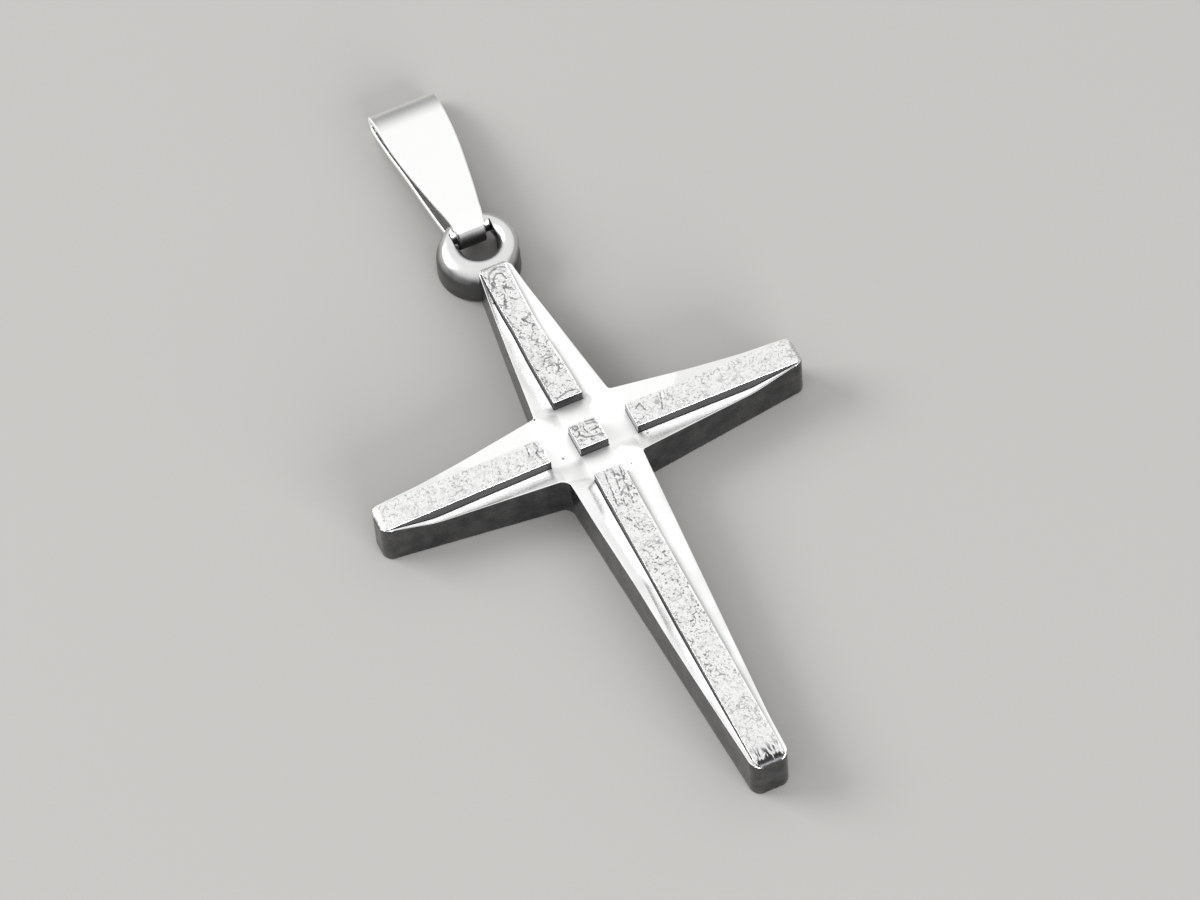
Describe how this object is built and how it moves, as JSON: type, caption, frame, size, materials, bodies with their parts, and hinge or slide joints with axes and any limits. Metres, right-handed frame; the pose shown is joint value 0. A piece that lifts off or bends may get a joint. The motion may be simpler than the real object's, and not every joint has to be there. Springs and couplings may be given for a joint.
{
  "type": "cross pendant",
  "caption": "Tapered metal cross pendant with raised textured bars, polished facets, a soldered eyelet on its upper arm and a folded strap bail that swings on it.",
  "frame": {"origin": "on the flat back, under the centre of the crossing", "axes": "+Y from the foot of the cross to the bail, +Z out of its front, +X along the right side arm; the pendant lies on its back on z = 0"},
  "size_m": [0.022, 0.0436, 0.0026],
  "materials": {
    "cast_silver": "polished, with hammered texture on the raised bars",
    "strap_silver": "mirror polished"
  },
  "bodies": {
    "cross": {"cross": "cast_silver"},
    "bail": {"bail": "strap_silver"}
  },
  "joints": [
    {"name": "bail_swing", "type": "hinge", "parent": "cross", "child": "bail", "pos_m": [0.00008, 0.01448, 0.00145], "axis": [1, 0, 0], "range_deg": [0, 125]}
  ]
}
